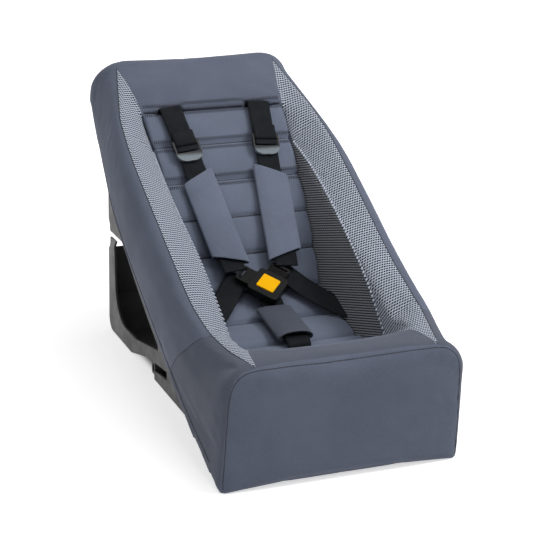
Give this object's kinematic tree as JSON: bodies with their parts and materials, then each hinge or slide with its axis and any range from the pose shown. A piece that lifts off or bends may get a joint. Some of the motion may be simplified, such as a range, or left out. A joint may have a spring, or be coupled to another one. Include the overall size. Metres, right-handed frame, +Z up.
{
  "type": "bike trailer infant seat",
  "caption": "Reclined padded infant seat with mesh-topped bolsters, quilted liner and buckled harness on a hollow moulded stand with a belt path.",
  "frame": {"origin": "centre of the bounding box, at the floor", "axes": "+X across the seat to the viewer's right, +Y from the apron to the head, +Z up"},
  "size_m": [0.3152, 0.6187, 0.4002],
  "materials": {
    "cover_fabric": "woven grey polyester over foam, with spacer mesh on the bolsters",
    "liner_fabric": "quilted grey polyester with sewn channels",
    "pad_fabric": "grey polyester sleeve",
    "webbing": "black woven webbing",
    "adjuster_plastic": "black moulded plastic, polished",
    "buckle_plastic": "black moulded plastic, satin",
    "button_plastic": "yellow moulded plastic",
    "loop_plastic": "black moulded plastic",
    "shell_plastic": "dark grey moulded plastic, fine grain outside",
    "plated_steel": "zinc-plated steel"
  },
  "bodies": {
    "seat": {"buckle_back_cover": "buckle_plastic", "buckle_front_cover": "buckle_plastic", "buckle_tongue_left": "buckle_plastic", "buckle_tongue_right": "buckle_plastic", "button_spring": "plated_steel", "crotch_anchor": "plated_steel", "crotch_pad": "pad_fabric", "crotch_strap": "webbing", "hip_strap_left": "webbing", "hip_strap_right": "webbing", "padded_tub": "cover_fabric", "quilted_liner": "liner_fabric", "seat_pan": "shell_plastic", "shoulder_anchor_left": "plated_steel", "shoulder_anchor_right": "plated_steel", "shoulder_pad_left": "pad_fabric", "shoulder_pad_right": "pad_fabric", "shoulder_strap_lower_left": "webbing", "shoulder_strap_lower_right": "webbing", "shoulder_strap_upper_left": "webbing", "shoulder_strap_upper_right": "webbing", "stand_screws": "plated_steel", "stand_shell": "shell_plastic", "stand_side_left": "shell_plastic", "stand_side_right": "shell_plastic", "strap_adjuster_left": "adjuster_plastic", "strap_adjuster_right": "adjuster_plastic", "tie_down_loop_left": "loop_plastic", "tie_down_loop_right": "loop_plastic"},
    "button": {"release_button": "button_plastic"}
  },
  "joints": [
    {"name": "button_press", "type": "slide", "parent": "seat", "child": "button", "axis": [0, 0.5, -0.866], "range_m": [0, 0.003], "stiffness_N_per_m": 2000, "deforming": ["button_spring"]}
  ]
}
